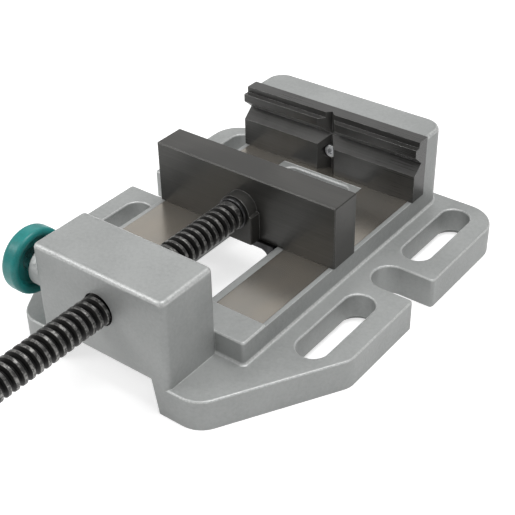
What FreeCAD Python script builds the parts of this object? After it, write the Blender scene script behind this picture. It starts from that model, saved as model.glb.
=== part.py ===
# Quick-release machine vise, 100 mm jaws.  Millimetres, +X across the jaws, +Y from the
# operator towards the fixed jaw, +Z up.  The origin is on the underside, midway between
# the two side notches, which is also the centre of the four clamping slots.
import FreeCAD, Part
import math
import os
import Sketcher

V = FreeCAD.Vector
doc = FreeCAD.newDocument("machine_vise")

SIZES = (
    # base casting
    ("base_width", 165.0, "over the two side flanges"),
    ("base_front", 116.0, "notch centre to the front face"),
    ("base_rear", 74.5, "notch centre to the rear edge of the flange"),
    ("nose_width", 97.0, "flange at the front face, before the corner is rounded"),
    ("shoulder_y", 58.0, "how far forward the flange keeps its full width"),
    ("flange_thick", 15.0, "clamping flange"),
    ("shoulder_round", 10.0, "flange corner radius at the shoulder"),
    ("nose_round", 13.0, "flange corner radius at the nose"),
    ("rear_round", 16.0, "flange corner radius at the rear"),
    ("rim_round", 1.1, "rounding of the flange's upper rim"),
    ("slot_width", 14.4, "clamping slot, across"),
    ("slot_length", 49.4, "clamping slot, end to end"),
    ("slot_x", 64.9, "slot centre line from the middle"),
    ("slot_y", 42.4, "slot centre from the notch centre"),
    ("relief_depth", 3.0, "relief round each slot, in the underside"),
    ("relief_edge", 2.4, "relief beyond the slot's own edge"),
    ("notch_width", 17.4, "side notch, across"),
    ("notch_root", 57.0, "notch bottom from the middle"),
    ("bed_width", 98.8, "over the rails and the upright"),
    ("rail_top", 25.6, "height of the milled rails"),
    ("ledge_rise", 0.8, "unmilled ledge above the rails"),
    ("ledge_length", 14.0, "unmilled ledge behind the block"),
    ("rail_inner", 4.5, "unmilled strip inside each rail"),
    ("mill_step", 0.3, "unmilled strips below the rails"),
    ("bed_round", 1.6, "front corners of the bed"),
    ("lip_round", 1.2, "rounding along the outer edge of the bed"),
    ("foot_round", 1.6, "fillet where a wall meets the flange"),
    ("well_width", 37.0, "open well between the rails"),
    ("well_rear", 39.5, "notch centre to the rear end of the well"),
    ("well_round", 4.5, "corners of the well"),
    ("channel_width", 54.0, "channel under the rails"),
    ("channel_height", 18.0, "channel under the rails"),
    ("arch_width", 52.0, "arch under the block, at its roof"),
    ("arch_spread", 3.0, "how much wider each side of the arch is at the foot"),
    ("arch_height", 17.2, "arch under the block"),
    ("block_width", 70.0, "spindle block"),
    ("block_depth", 30.6, "spindle block, front to back"),
    ("block_top", 58.0, "height of the spindle block"),
    ("block_round", 2.6, "upright edges of the block"),
    ("block_crown", 2.4, "upper edges of the block"),
    ("upright_rear", 72.5, "notch centre to the back of the upright"),
    ("upright_top", 56.2, "height of the upright"),
    ("upright_round", 9.0, "rear corners of the upright"),
    ("upright_crown", 2.4, "upper edges of the upright"),
    # fixed jaw
    ("jaw_width", 100.0, "both jaws"),
    ("plate_front", 44.0, "notch centre to the face of the fixed jaw"),
    ("plate_thick", 10.0, "fixed jaw plate"),
    ("plate_top", 57.0, "height of the fixed jaw plate"),
    ("step_depth", 3.0, "workpiece step along the top"),
    ("step_height", 3.0, "workpiece step along the top"),
    ("vee_height", 45.0, "height of the long V groove's root"),
    ("vee_half", 5.0, "half the mouth of each V groove"),
    ("vee_depth", 5.6, "depth of each V groove"),
    ("front_screw_z", 35.5, "height of the front plate screw"),
    ("rear_screw_x", 34.0, "rear plate screws from the middle"),
    ("rear_screw_z", 33.0, "height of the rear plate screws"),
    # moving jaw
    ("jaw_front", 6.1, "notch centre back to the face of the moving jaw"),
    ("jaw_thick", 16.4, "moving jaw"),
    ("jaw_top", 56.8, "height of the moving jaw"),
    ("jaw_edge", 0.5, "bevel round the moving jaw"),
    ("lug_reach", 6.1, "lug behind the moving jaw"),
    ("lug_half", 9.3, "half the width of the lug"),
    ("lug_shoulder", 1.2, "top of the lug above the spindle's axis"),
    ("lug_bevel", 2.2, "slanted corners of the lug"),
    ("lug_radius", 8.2, "round crown of the lug"),
    ("slide_gap", 0.05, "running gap over the rails"),
    ("guide_rear", 24.4, "notch centre back to the rear of the guide"),
    ("guide_length", 10.4, "guide under the moving jaw"),
    ("guide_web", 3.2, "top of the guide"),
    ("guide_ear", 2.8, "side walls of the guide"),
    ("guide_foot", 4.0, "height of the guide's feet"),
    ("guide_side_gap", 0.3, "guide to the well's side walls"),
    ("guide_drop", 0.4, "guide's feet below the roof of the channel"),
    ("guide_screw_x", 9.1, "guide screws from the middle"),
    # spindle
    ("axis_z", 40.0, "height of the spindle"),
    ("thread_size", 14.0, "spindle thread, outside diameter"),
    ("thread_pitch", 4.0, "spindle thread, lead of one turn"),
    ("thread_depth", 2.2, "spindle thread"),
    ("thread_gap", 0.25, "half nut's thread clear of the spindle"),
    ("thread_length", 146.0, "threaded stretch of the spindle"),
    ("journal_radius", 5.0, "turned ends of the spindle"),
    ("journal_length", 16.0, "journal past the washer, inside the moving jaw"),
    ("journal_gap", 0.05, "journal in its bore"),
    ("pin_groove", 1.25, "depth of the retaining groove"),
    ("pin_radius", 1.5, "retaining pins and the handle's cross pin"),
    ("pin_gap", 0.12, "retaining pins clear of the groove"),
    ("washer_radius", 7.6, "thrust washer"),
    ("washer_thick", 2.0, "thrust washer"),
    ("spindle_bore", 7.6, "radius of the hole through the block"),
    ("head_radius", 9.0, "handle boss"),
    ("head_length", 17.0, "handle boss"),
    ("bar_radius", 3.0, "tommy bar"),
    ("bar_length", 66.0, "tommy bar between the ends of its caps' sockets"),
    ("bar_gap", 0.1, "tommy bar in its hole"),
    ("bar_tilt", 20.0, "tommy bar from upright, degrees"),
    ("cap_radius", 4.6, "caps on the tommy bar"),
    ("cap_length", 7.0, "caps on the tommy bar"),
    # quick release
    ("release_y", 106.5, "notch centre forward to the release slide"),
    ("press_travel", 4.0, "how far the button goes in"),
    ("slide_thick", 12.0, "release slide, front to back"),
    ("slide_foot", 20.1, "height of the release slide's lower end"),
    ("slide_head", 51.6, "height of the release slide's upper end"),
    ("slide_left", 16.7, "release slide to the left of the spindle"),
    ("slide_right", 15.0, "release slide to the right of the spindle"),
    ("pocket_gap", 0.2, "release slide in its pocket, front and back"),
    ("window_gap", 0.6, "spindle in the slide's window"),
    ("window_edge", 2.4, "where the half nut's teeth begin, from the axis"),
    ("stem_radius", 5.5, "stem of the button"),
    ("stem_gap", 0.1, "stem in its bore"),
    ("stud_radius", 3.0, "stem's stud in the release slide"),
    ("stud_length", 3.6, "stem's stud in the release slide"),
    ("boss_radius", 9.0, "guide boss on the block"),
    ("boss_reach", 5.0, "guide boss beyond the block"),
    ("button_radius", 15.0, "release button"),
    ("button_inner", 7.6, "block to the rim of the button"),
    ("button_depth", 8.4, "release button, rim to outer face"),
    ("dish_radius", 11.3, "hollow of the button"),
    ("dish_depth", 4.6, "hollow of the button"),
    ("spring_radius", 2.6, "release spring, middle of the wire"),
    ("spring_wire", 0.7, "release spring, wire diameter"),
    ("spring_turns", 5.0, "release spring"),
    ("spring_seat", 4.0, "depth of the spring's hole in the slide"),
    ("cover_thick", 2.4, "cover under the release slide"),
    ("cover_screw_x", 22.6, "cover screws from the middle"),
)

sheet = doc.addObject("Spreadsheet::Sheet", "Sizes")
for row, (alias, value, note) in enumerate(SIZES, 1):
    sheet.set(f"A{row}", note)
    sheet.set(f"B{row}", str(value))
    sheet.setAlias(f"B{row}", alias)
doc.recompute()


class Dim:
    """A length with the sheet formula it comes from."""

    def __init__(self, value, text):
        self.value = float(value)
        self.text = text

    def joined(self, other, sign, value):
        return Dim(value, f"({self.text} {sign} {as_dim(other).text})")

    def __add__(self, other):
        return self.joined(other, "+", self.value + as_dim(other).value)

    def __sub__(self, other):
        return self.joined(other, "-", self.value - as_dim(other).value)

    def __mul__(self, other):
        return self.joined(other, "*", self.value * as_dim(other).value)

    def __truediv__(self, other):
        return self.joined(other, "/", self.value / as_dim(other).value)

    def __radd__(self, other):
        return as_dim(other) + self

    def __rsub__(self, other):
        return as_dim(other) - self

    def __rmul__(self, other):
        return as_dim(other) * self

    def __neg__(self):
        return self * -1


def as_dim(number):
    return number if isinstance(number, Dim) else Dim(number, repr(float(number)))


class Sheet:
    """Every named size as a Dim, such as s.jaw_width."""


s = Sheet()
for alias, value, note in SIZES:
    setattr(s, alias, Dim(value, f"Sizes.{alias}"))


# ---- helpers for bodies and sketches --------------------------------------------------

def bind(item, name, length):
    item.setExpression(name, as_dim(length).text)


def new_body(label, x=0, y=0, z=0, turn=None):
    """A body whose origin sits at x, y, z, turned by the rotation if one is given."""
    body = doc.addObject("PartDesign::Body", label)
    body.Label = label
    place = V(as_dim(x).value, as_dim(y).value, as_dim(z).value)
    body.Placement = FreeCAD.Placement(place, turn or FreeCAD.Rotation())
    for name, length in (("x", x), ("y", y), ("z", z)):
        bind(body, f"Placement.Base.{name}", length)
    return body


def new_sketch(body, name, role, lift=0, swing=0):
    """A sketch on one of the body's own planes, moved along its normal by lift.

    A swing, in degrees, turns the sketch about its own second axis.
    """
    sketch = body.newObject("Sketcher::SketchObject", name)
    plane = next(item for item in body.Origin.OriginFeatures if item.Role == role)
    sketch.AttachmentSupport = [(plane, "")]
    sketch.MapMode = "FlatFace"
    turn = FreeCAD.Rotation(V(0, 1, 0), as_dim(swing).value)
    sketch.AttachmentOffset = FreeCAD.Placement(V(0, 0, as_dim(lift).value), turn)
    bind(sketch, "AttachmentOffset.Base.z", lift)
    if isinstance(swing, Dim):
        bind(sketch, "AttachmentOffset.Rotation.Angle", swing)
    return sketch


def pin_down(sketch, kind, item, point, length):
    """One dimension of the sketch, bound to its formula."""
    length = as_dim(length)
    arguments = [kind, item] + ([] if point is None else [point]) + [length.value]
    index = sketch.addConstraint(Sketcher.Constraint(*arguments))
    bind(sketch, f"Constraints[{index}]", length)


def draw_polygon(sketch, corners):
    points = [V(as_dim(x).value, as_dim(y).value, 0) for x, y in corners]
    first = sketch.GeometryCount
    count = len(points)
    for index in range(count):
        sketch.addGeometry(Part.LineSegment(points[index], points[(index + 1) % count]), False)
    for index in range(count):
        follower = first + (index + 1) % count
        sketch.addConstraint(Sketcher.Constraint("Coincident", first + index, 2, follower, 1))
    for index, (x, y) in enumerate(corners):
        pin_down(sketch, "DistanceX", first + index, 1, x)
        pin_down(sketch, "DistanceY", first + index, 1, y)


def draw_box(sketch, x0, x1, y0, y1):
    draw_polygon(sketch, [(x0, y0), (x1, y0), (x1, y1), (x0, y1)])


def draw_circle(sketch, x, y, radius):
    centre = V(as_dim(x).value, as_dim(y).value, 0)
    item = sketch.addGeometry(Part.Circle(centre, V(0, 0, 1), as_dim(radius).value), False)
    pin_down(sketch, "Radius", item, None, radius)
    pin_down(sketch, "DistanceX", item, 3, x)
    pin_down(sketch, "DistanceY", item, 3, y)


def draw_slot(sketch, x, y0, y1, radius):
    """A round-ended slot along the sketch's second axis, between the centres y0 and y1."""
    low = V(as_dim(x).value, as_dim(y0).value, 0)
    high = V(as_dim(x).value, as_dim(y1).value, 0)
    size = as_dim(radius).value
    first = sketch.GeometryCount
    side = V(size, 0, 0)
    upper = Part.Circle(high, V(0, 0, 1), size)
    lower = Part.Circle(low, V(0, 0, 1), size)
    sketch.addGeometry(Part.ArcOfCircle(upper, 0, math.pi), False)
    sketch.addGeometry(Part.ArcOfCircle(lower, math.pi, 2 * math.pi), False)
    sketch.addGeometry(Part.LineSegment(high - side, low - side), False)
    sketch.addGeometry(Part.LineSegment(low + side, high + side), False)
    links = ((0, 2, 2, 1), (2, 2, 1, 1), (1, 2, 3, 1), (3, 2, 0, 1))
    for item, end, other, start in links:
        constraint = Sketcher.Constraint("Tangent", first + item, end, first + other, start)
        sketch.addConstraint(constraint)
    sketch.addConstraint(Sketcher.Constraint("Equal", first, first + 1))
    pin_down(sketch, "Radius", first, None, radius)
    pin_down(sketch, "DistanceX", first, 3, x)
    pin_down(sketch, "DistanceY", first, 3, y1)
    pin_down(sketch, "DistanceX", first + 1, 3, x)
    pin_down(sketch, "DistanceY", first + 1, 3, y0)


def extrude(body, kind, name, sketch, length=None, back=False, both=False):
    """A Pad or a Pocket of the given length; a Pocket without one goes right through."""
    item = body.newObject(f"PartDesign::{kind}", name)
    item.Profile = sketch
    if length is None:
        item.Type = "ThroughAll"
    else:
        item.Type = "Length"
        item.Length = as_dim(length).value
        bind(item, "Length", length)
    item.Reversed = back
    if both:
        item.SideType = "Symmetric"
    sketch.Visibility = False
    doc.recompute()
    return item


def turn_profile(body, kind, name, corners, role="XZ_Plane", axis="V_Axis"):
    """A Revolution or a Groove of a closed profile about one of its own axes."""
    sketch = new_sketch(body, name + "_profile", role)
    draw_polygon(sketch, corners)
    item = body.newObject(f"PartDesign::{kind}", name)
    item.Profile = sketch
    item.ReferenceAxis = (sketch, [axis])
    item.Angle = 360
    doc.recompute()
    return item


def dress(body, kind, name, size, chosen):
    """A Fillet or a Chamfer on the edges of the body that the test chooses."""
    base = body.Tip
    edges = [f"Edge{i}" for i, edge in enumerate(base.Shape.Edges, 1) if chosen(edge)]
    if not edges:
        raise ValueError(f"{body.Label}: no edge for {name}")
    item = body.newObject(f"PartDesign::{kind}", name)
    item.Base = (base, edges)
    item.UseAllEdges = False
    bind(item, "Radius" if kind == "Fillet" else "Size", size)
    doc.recompute()
    return item


def near(value, target, slack=0.01):
    return abs(value - as_dim(target).value) < slack


def upright(edge):
    box = edge.BoundBox
    return box.XLength < 0.01 and box.YLength < 0.01


def level(edge, z):
    box = edge.BoundBox
    return box.ZLength < 0.01 and near(box.ZMin, z)


def upright_at(*places):
    """Chooses the straight vertical edges that stand at the given x, y places."""
    def chosen(edge):
        box = edge.BoundBox
        return upright(edge) and any(near(box.XMin, x) and near(box.YMin, y) for x, y in places)
    return chosen


def both_sides(*places):
    return [(side * x, y) for x, y in places for side in (1, -1)]


# ---- base casting ---------------------------------------------------------------------

FRONT = -s.base_front
BLOCK_BACK = FRONT + s.block_depth
BED_FRONT = BLOCK_BACK - 1.0
LEDGE_BACK = BLOCK_BACK + s.ledge_length
PLATE_BACK = s.plate_front + s.plate_thick
UNMILLED = s.rail_top - s.mill_step
SLIDE_Y = -s.release_y
POCKET_LEFT = -s.slide_left - 0.3
POCKET_RIGHT = s.slide_right + s.press_travel + 1.5
COVER_TOP = s.arch_height + s.cover_thick
HEAD_BORE = 4.6


def cast_flange(body):
    half = s.base_width / 2
    nose = s.nose_width / 2
    outline = new_sketch(body, "flange_outline", "XY_Plane")
    draw_polygon(outline, [(-nose, FRONT), (nose, FRONT), (half, -s.shoulder_y),
                           (half, s.base_rear), (-half, s.base_rear), (-half, -s.shoulder_y)])
    extrude(body, "Pad", "flange", outline, s.flange_thick)
    dress(body, "Fillet", "flange_nose", s.nose_round, upright_at(*both_sides((nose, FRONT))))
    dress(body, "Fillet", "flange_shoulders", s.shoulder_round,
          upright_at(*both_sides((half, -s.shoulder_y))))
    dress(body, "Fillet", "flange_rear", s.rear_round, upright_at(*both_sides((half, s.base_rear))))


def cut_slots_and_notches(body):
    half = s.slot_width / 2
    reach = s.slot_length / 2 - half
    slots = new_sketch(body, "slot_outlines", "XY_Plane")
    reliefs = new_sketch(body, "relief_outlines", "XY_Plane")
    for x in (s.slot_x, -s.slot_x):
        for y in (s.slot_y, -s.slot_y):
            draw_slot(slots, x, y - reach, y + reach, half)
            draw_slot(reliefs, x, y - reach, y + reach, half + s.relief_edge)
    extrude(body, "Pocket", "slots", slots, back=True)
    extrude(body, "Pocket", "slot_reliefs", reliefs, s.relief_depth, back=True)
    mouth = s.base_width / 2 + 1.0
    notches = new_sketch(body, "notch_outlines", "XY_Plane")
    for side in (1, -1):
        draw_box(notches, side * s.notch_root, side * mouth, -s.notch_width / 2, s.notch_width / 2)
    extrude(body, "Pocket", "notches", notches, back=True)
    roots = both_sides((s.notch_root, s.notch_width / 2), (s.notch_root, -s.notch_width / 2))
    dress(body, "Fillet", "notch_roots", s.notch_width / 2 - 0.05, upright_at(*roots))
    mouths = both_sides((s.base_width / 2, s.notch_width / 2), (s.base_width / 2, -s.notch_width / 2))
    dress(body, "Fillet", "notch_mouths", s.rim_round + 0.6, upright_at(*mouths))
    dress(body, "Fillet", "flange_rim", s.rim_round, lambda edge: level(edge, s.flange_thick))


def cast_bed(body):
    side = new_sketch(body, "bed_profile", "YZ_Plane")
    ledge_top = s.rail_top + s.ledge_rise
    foot = s.flange_thick / 2
    draw_polygon(side, [(BED_FRONT, foot), (s.upright_rear, foot), (s.upright_rear, s.upright_top),
                        (PLATE_BACK, s.upright_top), (PLATE_BACK, ledge_top),
                        (BED_FRONT, ledge_top)])
    extrude(body, "Pad", "bed", side, s.bed_width, both=True)
    half = s.bed_width / 2
    dress(body, "Fillet", "upright_corners", s.upright_round,
          upright_at(*both_sides((half, s.upright_rear))))
    dress(body, "Fillet", "bed_corners", s.bed_round, upright_at(*both_sides((half, BED_FRONT))))
    reach = half.value + 0.01
    front = PLATE_BACK.value + 0.01

    def foot_edge(edge):
        box = edge.BoundBox
        return level(edge, s.flange_thick) and box.XMax < reach and box.XMin > -reach \
            and box.YMax < s.upright_rear.value + 0.01 and box.YMin > BED_FRONT.value - 0.01
    dress(body, "Fillet", "bed_foot", s.foot_round, foot_edge)
    dress(body, "Fillet", "upright_crown", s.upright_crown,
          lambda edge: level(edge, s.upright_top) and edge.BoundBox.YMax > front)
    dress(body, "Fillet", "bed_lip", s.lip_round,
          lambda edge: level(edge, ledge_top) and edge.BoundBox.XLength < s.bed_width.value - 0.5
          or level(edge, ledge_top) and near(edge.BoundBox.YMin, BED_FRONT))


def mill_rails(body):
    """The rails are milled across the whole bed, behind a ledge that is left as cast."""
    half = s.bed_width / 2 + 1.0
    rails = new_sketch(body, "milled_outline", "XY_Plane", s.rail_top)
    draw_box(rails, -half, half, LEDGE_BACK, PLATE_BACK)
    extrude(body, "Pocket", "milled_rails", rails, s.ledge_rise + 1.0, back=True)
    strip = s.well_width / 2 + s.rail_inner
    inner = new_sketch(body, "inner_strip_outline", "XY_Plane", UNMILLED)
    draw_box(inner, -strip, strip, LEDGE_BACK, s.well_rear + 2.0)
    extrude(body, "Pocket", "inner_strips", inner, s.mill_step + 1.0, back=True)


def open_well(body):
    well = s.well_width / 2
    low = new_sketch(body, "channel_outline", "XY_Plane")
    channel = s.channel_width / 2
    draw_box(low, -channel, channel, BLOCK_BACK - 4.0, s.well_rear)
    extrude(body, "Pocket", "channel", low, s.channel_height, back=True)
    dress(body, "Fillet", "channel_corners", s.well_round,
          upright_at(*both_sides((channel, s.well_rear))))
    top = new_sketch(body, "well_outline", "XY_Plane")
    draw_box(top, -well, well, BLOCK_BACK + 2.0, s.well_rear)
    extrude(body, "Pocket", "well", top, back=True)
    corners = both_sides((well, s.well_rear), (well, BLOCK_BACK + 2.0))
    dress(body, "Fillet", "well_corners", s.well_round, upright_at(*corners))
    dress(body, "Fillet", "well_edge", 1.2, lambda edge: level(edge, UNMILLED)
          and abs(edge.BoundBox.Center.x) < well.value + 0.01
          and edge.BoundBox.XLength < s.well_round.value + 0.1)


def cast_block(body):
    half = s.block_width / 2
    block = new_sketch(body, "block_outline", "XY_Plane")
    draw_box(block, -half, half, FRONT, BLOCK_BACK)
    extrude(body, "Pad", "block", block, s.block_top)
    dress(body, "Fillet", "block_corners", s.block_round,
          upright_at(*both_sides((half, FRONT), (half, BLOCK_BACK))))
    dress(body, "Fillet", "block_crown", s.block_crown, lambda edge: level(edge, s.block_top))
    boss = new_sketch(body, "boss_outline", "YZ_Plane", -half + s.boss_radius)
    draw_circle(boss, SLIDE_Y, s.axis_z, s.boss_radius)
    extrude(body, "Pad", "guide_boss", boss, s.boss_radius + s.boss_reach, back=True)


def cut_arch(body):
    arch = new_sketch(body, "arch_outline", "XZ_Plane", -FRONT + 1.0)
    roof = s.arch_width / 2
    foot = roof + s.arch_spread
    draw_polygon(arch, [(-foot, -1.0), (foot, -1.0), (foot, 0), (roof, s.arch_height),
                        (-roof, s.arch_height), (-foot, 0)])
    extrude(body, "Pocket", "arch", arch, s.block_depth + 1.5, back=False)


def cut_release_pocket(body):
    half = s.slide_thick / 2 + s.pocket_gap
    pocket = new_sketch(body, "pocket_outline", "XY_Plane")
    draw_box(pocket, POCKET_LEFT, POCKET_RIGHT, SLIDE_Y - half, SLIDE_Y + half)
    extrude(body, "Pocket", "release_pocket", pocket, s.slide_head + 0.4, back=True)
    cover = new_sketch(body, "cover_recess_outline", "XY_Plane")
    draw_box(cover, -COVER_HALF, COVER_HALF, SLIDE_Y - COVER_DEPTH / 2, SLIDE_Y + COVER_DEPTH / 2)
    extrude(body, "Pocket", "cover_recess", cover, COVER_TOP, back=True)
    screws = new_sketch(body, "cover_screw_holes", "XY_Plane")
    for side in (1, -1):
        draw_circle(screws, side * s.cover_screw_x, SLIDE_Y, COVER_SCREW)
    extrude(body, "Pocket", "cover_screw_threads", screws, COVER_TOP + 7.0, back=True)
    stem = new_sketch(body, "stem_bore_outline", "YZ_Plane")
    draw_circle(stem, SLIDE_Y, s.axis_z, s.stem_radius + s.stem_gap)
    reach = s.block_width / 2 + s.boss_reach + 1.0
    extrude(body, "Pocket", "stem_bore", stem, reach, back=False)


def drill_block(body):
    bore = new_sketch(body, "spindle_bore_outline", "XZ_Plane", -BLOCK_BACK - 1.0)
    draw_circle(bore, 0, s.axis_z, s.spindle_bore)
    extrude(body, "Pocket", "spindle_bore", bore, s.block_depth + 2.0, back=True)


def drill_upright(body):
    """A tapped hole for the front plate screw and two counterbored holes from behind."""
    front = new_sketch(body, "front_tapping_outline", "XZ_Plane", -PLATE_BACK)
    draw_circle(front, 0, s.front_screw_z, FRONT_SCREW)
    extrude(body, "Pocket", "front_tapping", front, 10.0, back=False)
    through = new_sketch(body, "rear_hole_outlines", "XZ_Plane", -PLATE_BACK)
    sinks = new_sketch(body, "rear_sink_outlines", "XZ_Plane", -s.upright_rear - 1.0)
    for side in (1, -1):
        draw_circle(through, side * s.rear_screw_x, s.rear_screw_z, REAR_SCREW + 0.1)
        draw_circle(sinks, side * s.rear_screw_x, s.rear_screw_z, REAR_HEAD + 0.3)
    extrude(body, "Pocket", "rear_holes", through, s.upright_rear - PLATE_BACK + 1.0, back=False)
    extrude(body, "Pocket", "rear_sinks", sinks, REAR_SINK + 1.0, back=True)


COVER_HALF = s.arch_width / 2 - 0.6
COVER_DEPTH = s.slide_thick + 4.0
COVER_SCREW = 1.5
FRONT_SCREW = 2.0
REAR_SCREW = 2.5
REAR_HEAD = 4.25
REAR_SINK = 5.4


def base_casting():
    body = new_body("base_casting")
    cast_flange(body)
    cut_slots_and_notches(body)
    cast_bed(body)
    mill_rails(body)
    cast_block(body)
    cut_arch(body)
    open_well(body)
    cut_release_pocket(body)
    drill_block(body)
    drill_upright(body)
    return body



# ---- fixed jaw ------------------------------------------------------------------------

VEE_SLOPE = s.vee_half


def fixed_jaw_plate():
    """A hardened plate with a workpiece step and crossed V grooves for round stock."""
    body = new_body("fixed_jaw_plate", 0, s.plate_front, 0)
    side = new_sketch(body, "side_profile", "YZ_Plane")
    step_z = s.plate_top - s.step_height
    draw_polygon(side, [(0, s.rail_top), (s.plate_thick, s.rail_top), (s.plate_thick, s.plate_top),
                        (s.step_depth, s.plate_top), (s.step_depth, step_z), (0, step_z),
                        (0, s.vee_height + VEE_SLOPE), (s.vee_depth, s.vee_height),
                        (0, s.vee_height - VEE_SLOPE)])
    extrude(body, "Pad", "plate", side, s.jaw_width, both=True)
    vee = new_sketch(body, "upright_vee_outline", "XY_Plane")
    draw_polygon(vee, [(-VEE_SLOPE, 0), (0, s.vee_depth), (VEE_SLOPE, 0), (0, -3.0)])
    extrude(body, "Pocket", "upright_vee", vee, back=True)
    seat = new_sketch(body, "screw_seat_outline", "XZ_Plane", 1.0)
    draw_circle(seat, 0, s.front_screw_z, FRONT_HEAD + 0.4)
    extrude(body, "Pocket", "screw_seat", seat, FRONT_SEAT + 1.0, back=False)
    holes = new_sketch(body, "screw_hole_outlines", "XZ_Plane", -s.plate_thick)
    draw_circle(holes, 0, s.front_screw_z, FRONT_SCREW + 0.1)
    extrude(body, "Pocket", "screw_hole", holes, s.plate_thick, back=True)
    taps = new_sketch(body, "rear_tapping_outlines", "XZ_Plane", -s.plate_thick)
    for side_sign in (1, -1):
        draw_circle(taps, side_sign * s.rear_screw_x, s.rear_screw_z, REAR_SCREW)
    extrude(body, "Pocket", "rear_tappings", taps, REAR_THREAD + 0.5, back=True)


def screw(label, x, y, z, turn, shank, length, head, head_height, socket, sunk=False):
    """A screw whose head stands on its origin, along its own Z axis, with a hex socket."""
    body = new_body(label, x, y, z, turn)
    if sunk:
        corners = [(0, -length), (shank, -length), (shank, -head_height), (head, 0), (0, 0)]
    else:
        corners = [(0, -length), (shank, -length), (shank, 0), (head, 0), (head, head_height),
                   (0, head_height)]
    turn_profile(body, "Revolution", "screw", corners)
    top = 0 if sunk else head_height
    hexagon = new_sketch(body, "socket_outline", "XY_Plane", top)
    points = [(socket * math.cos(math.radians(60 * k)), socket * math.sin(math.radians(60 * k)))
              for k in range(6)]
    draw_polygon(hexagon, points)
    extrude(body, "Pocket", "socket", hexagon, as_dim(head_height) * 0.6, back=False)
    if not sunk:
        dress(body, "Fillet", "head_round", head_height * 0.18,
              lambda edge: level(edge, head_height) and edge.BoundBox.XLength > 1.9 * head)
    return body


TO_FRONT = FreeCAD.Rotation(V(1, 0, 0), 90)
TO_REAR = FreeCAD.Rotation(V(1, 0, 0), -90)
TO_FLOOR = FreeCAD.Rotation(V(1, 0, 0), 180)
FRONT_HEAD = 3.3
FRONT_SEAT = 6.2
REAR_THREAD = 6.0
SCREW_SOCKET = 0.48


def plate_screws():
    seat = s.plate_front + FRONT_SEAT
    screw("plate_screw_front", 0, seat, s.front_screw_z, TO_FRONT, FRONT_SCREW, 12.0,
          FRONT_HEAD, 2.2, FRONT_HEAD * SCREW_SOCKET)
    back = s.upright_rear - REAR_SINK
    length = s.upright_rear - REAR_SINK - PLATE_BACK + REAR_THREAD
    for side, sign in (("right", 1), ("left", -1)):
        screw(f"plate_screw_{side}", sign * s.rear_screw_x, back, s.rear_screw_z, TO_REAR,
              REAR_SCREW, length, REAR_HEAD, 4.6, REAR_HEAD * SCREW_SOCKET)


# ---- moving jaw -----------------------------------------------------------------------

JAW_FRONT = -s.jaw_front
JAW_BACK = JAW_FRONT - s.jaw_thick
LUG_BACK = JAW_BACK - s.lug_reach
JAW_FOOT = s.rail_top + s.slide_gap
WASHER_GAP = 0.1
JOURNAL_END = LUG_BACK + s.journal_length
GROOVE_LOW = 10.0
GROOVE_WIDTH = s.pin_radius * 2 + s.pin_gap * 2
GROOVE_Y = LUG_BACK + GROOVE_LOW
PIN_X = s.journal_radius - s.pin_groove + s.pin_gap + s.pin_radius
PIN_TOP = s.axis_z + 9.0


def moving_jaw():
    body = new_body("moving_jaw")
    half = s.jaw_width / 2
    bar = new_sketch(body, "bar_outline", "XY_Plane", JAW_FOOT)
    draw_box(bar, -half, half, JAW_BACK, JAW_FRONT)
    extrude(body, "Pad", "bar", bar, s.jaw_top - JAW_FOOT)
    dress(body, "Chamfer", "bar_edges", s.jaw_edge, lambda edge: not level(edge, JAW_FOOT))
    lug = new_sketch(body, "lug_outline", "XZ_Plane", -JAW_BACK - 1.0)
    shoulder = s.axis_z + s.lug_shoulder
    drop = shoulder - s.lug_bevel * 0.7
    inner = s.lug_half - s.lug_bevel
    right = [(s.lug_half, JAW_FOOT), (s.lug_half, drop), (inner, shoulder)]
    draw_polygon(lug, right + [(-x, z) for x, z in reversed(right)])
    extrude(body, "Pad", "lug_foot", lug, s.lug_reach + 1.0)
    crown = new_sketch(body, "lug_crown_outline", "XZ_Plane", -JAW_BACK - 1.0)
    draw_circle(crown, 0, s.axis_z, s.lug_radius)
    extrude(body, "Pad", "lug_crown", crown, s.lug_reach + 1.0)
    dress(body, "Fillet", "lug_corners", 0.8,
          upright_at(*both_sides((s.lug_half, LUG_BACK))))
    bore = new_sketch(body, "journal_bore_outline", "XZ_Plane", -LUG_BACK)
    draw_circle(bore, 0, s.axis_z, s.journal_radius + s.journal_gap)
    extrude(body, "Pocket", "journal_bore", bore, s.journal_length + 0.6)
    pins = new_sketch(body, "pin_hole_outlines", "XY_Plane")
    screws = new_sketch(body, "guide_tapping_outlines", "XY_Plane")
    for side in (1, -1):
        draw_circle(pins, side * PIN_X, GROOVE_Y, s.pin_radius)
        draw_circle(screws, side * s.guide_screw_x, GUIDE_SCREW_Y, GUIDE_SCREW)
    extrude(body, "Pocket", "pin_holes", pins, PIN_TOP + 0.3, back=True)
    extrude(body, "Pocket", "guide_tappings", screws, JAW_FOOT + GUIDE_THREAD + 0.5, back=True)


GUIDE_SCREW = 2.0
GUIDE_THREAD = 6.0
GUIDE_HEAD = 3.6
GUIDE_Y = -s.guide_rear
GUIDE_SCREW_Y = GUIDE_Y + s.guide_length - 4.6
GUIDE_HALF = s.well_width / 2 - s.guide_side_gap
FOOT_HALF = s.channel_width / 2 - 1.0
FOOT_TOP = s.channel_height - s.guide_drop


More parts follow.
